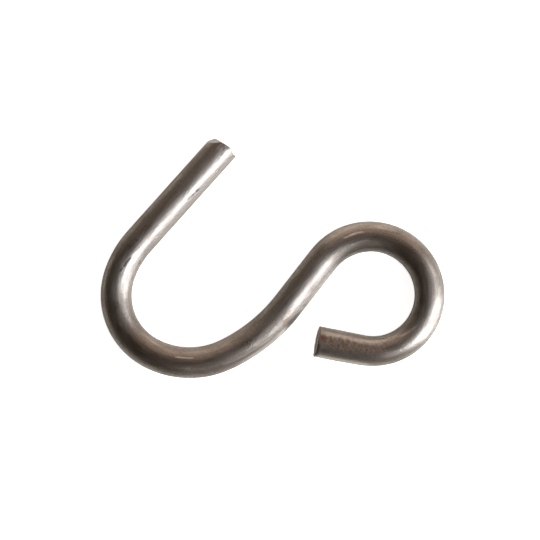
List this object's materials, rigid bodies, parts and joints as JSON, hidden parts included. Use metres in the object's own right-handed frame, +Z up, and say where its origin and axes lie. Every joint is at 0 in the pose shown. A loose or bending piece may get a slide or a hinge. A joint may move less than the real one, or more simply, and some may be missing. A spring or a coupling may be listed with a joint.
{
  "type": "s hook",
  "caption": "S-shaped hook bent from round steel wire, with an open hook and a straight leg at one end and a nearly closed eye at the other.",
  "frame": {"origin": "centre of the bounding box in plan, on the surface that the hook lies on", "axes": "+X from the open hook to the eye, along the line of pull through both bends; +Y towards the end of the straight leg; +Z up from the surface, square to the plane of the bends"},
  "size_m": [0.0496, 0.0346, 0.0045],
  "materials": {
    "wire_steel": "plain drawn steel wire, semi-gloss dark warm grey, with dark handling marks, fine scratches and brown stains"
  },
  "bodies": {
    "root": {"hook": "wire_steel"}
  },
  "joints": []
}
